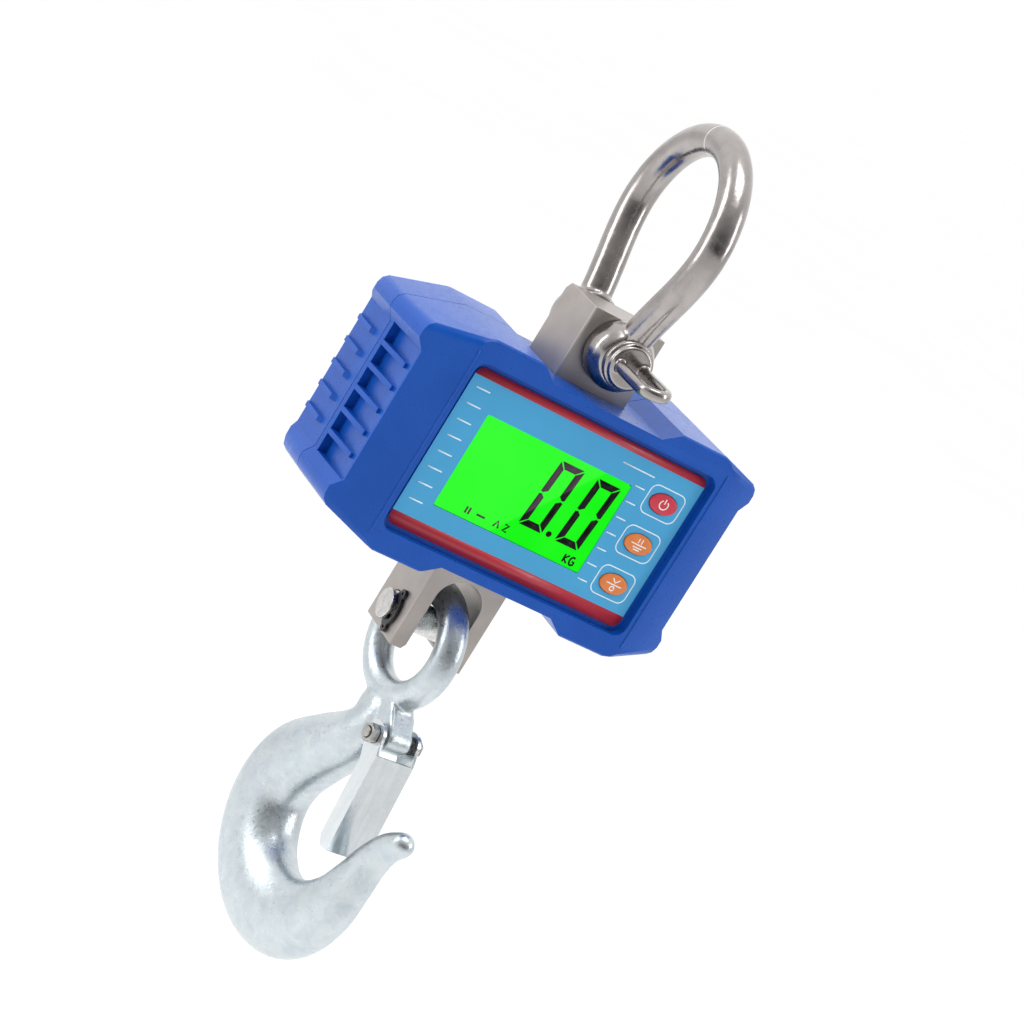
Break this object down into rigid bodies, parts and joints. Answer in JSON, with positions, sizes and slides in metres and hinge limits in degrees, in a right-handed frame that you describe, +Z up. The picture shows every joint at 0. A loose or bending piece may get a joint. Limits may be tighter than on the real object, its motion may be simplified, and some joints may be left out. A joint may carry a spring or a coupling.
{
  "type": "crane scale",
  "caption": "Hanging crane scale: bow shackle with screw pin, load cell inside a display housing with keys and battery door, and a swinging eye hook with a spring safety latch.",
  "frame": {"origin": "the point inside the shackle bow's crown where the crane hook that carries the scale bears", "axes": "+Z up along the load line, -Y out of the display, +X to the right as the display is read"},
  "size_m": [0.17, 0.1105, 0.3854],
  "materials": {
    "stainless": "polished",
    "bead_blasted_nickel": "bead-blasted nickel plate",
    "blue_housing": "gloss",
    "label_print": "gloss",
    "lcd": "lit green",
    "white_plastic": "matt",
    "white_silicone": "matt",
    "circuit_board": "satin",
    "black_plastic": "matt",
    "black_spring_steel": "phosphated",
    "red_key": "gloss",
    "orange_key": "gloss",
    "zinc_plate": "zinc plated",
    "fixing_steel": "satin",
    "battery_can": "satin",
    "contact_brass": "satin",
    "cable_jacket": "matt"
  },
  "bodies": {
    "shackle": {"shackle_bow": "stainless"},
    "screw_pin": {"shackle_pin": "stainless"},
    "scale_body": {"load_cell": "bead_blasted_nickel", "gauge_cover_left": "white_silicone", "gauge_cover_right": "white_silicone", "cell_bracket_left": "fixing_steel", "cell_bracket_right": "fixing_steel", "bracket_screw_left": "fixing_steel", "bracket_screw_right": "fixing_steel", "front_shell": "blue_housing", "rear_shell": "blue_housing", "display_label": "label_print", "lcd_glass": "lcd", "lcd_backlight": "white_plastic", "display_board": "circuit_board", "buzzer": "black_plastic", "key_switch_1": "black_plastic", "key_switch_2": "black_plastic", "key_switch_3": "black_plastic", "board_screw_1": "fixing_steel", "board_screw_2": "fixing_steel", "board_screw_3": "fixing_steel", "board_screw_4": "fixing_steel", "case_screw_1": "fixing_steel", "case_screw_2": "fixing_steel", "case_screw_3": "fixing_steel", "case_screw_4": "fixing_steel", "cell_cable": "cable_jacket", "battery_tray": "black_plastic", "battery_cell_1": "battery_can", "battery_cell_2": "battery_can", "battery_cell_3": "battery_can", "battery_contact_top": "contact_brass", "battery_contact_bottom": "contact_brass"},
    "power_key": {"key_power": "red_key"},
    "hold_key": {"key_hold": "orange_key"},
    "tare_key": {"key_tare": "orange_key"},
    "door": {"battery_door": "blue_housing"},
    "pin": {"hook_pin": "fixing_steel", "circlip_left": "black_spring_steel", "circlip_right": "black_spring_steel"},
    "hook_body": {"hook": "zinc_plate", "latch_bolt": "fixing_steel", "latch_nut": "fixing_steel", "latch_spring": "fixing_steel"},
    "safety_latch": {"latch": "zinc_plate"}
  },
  "joints": [
    {"name": "screw_pin_turn", "type": "hinge", "parent": "shackle", "child": "screw_pin", "pos_m": [0, 0, -0.084], "axis": [0, 1, 0], "continuous": true},
    {"name": "scale_swing", "type": "hinge", "parent": "shackle", "child": "scale_body", "pos_m": [0, 0, -0.084], "axis": [0, 1, 0], "range_deg": [-75, 75]},
    {"name": "power_press", "type": "slide", "parent": "scale_body", "child": "power_key", "axis": [0, 1, 0], "range_m": [0, 0.0004], "stiffness_N_per_m": 2000},
    {"name": "hold_press", "type": "slide", "parent": "scale_body", "child": "hold_key", "axis": [0, 1, 0], "range_m": [0, 0.0004], "stiffness_N_per_m": 2000},
    {"name": "tare_press", "type": "slide", "parent": "scale_body", "child": "tare_key", "axis": [0, 1, 0], "range_m": [0, 0.0004], "stiffness_N_per_m": 2000},
    {"name": "door_lift", "type": "slide", "parent": "scale_body", "child": "door", "axis": [0, 1, 0], "range_m": [0, 0.012]},
    {"name": "hook_swing", "type": "hinge", "parent": "scale_body", "child": "pin", "pos_m": [0, 0, -0.2193], "axis": [1, 0, 0], "range_deg": [-45, 45]},
    {"name": "hook_twist", "type": "hinge", "parent": "pin", "child": "hook_body", "pos_m": [0, 0, -0.2193], "axis": [0, 0, 1], "range_deg": [-20.5, 0.5]},
    {"name": "latch_swing", "type": "hinge", "parent": "hook_body", "child": "safety_latch", "pos_m": [0.00385, -0.02183, -0.26441], "axis": [0.9848, 0.1736, 0], "range_deg": [0, 38], "stiffness_Nm_per_rad": 0.08, "springref_deg": -28.65}
  ]
}
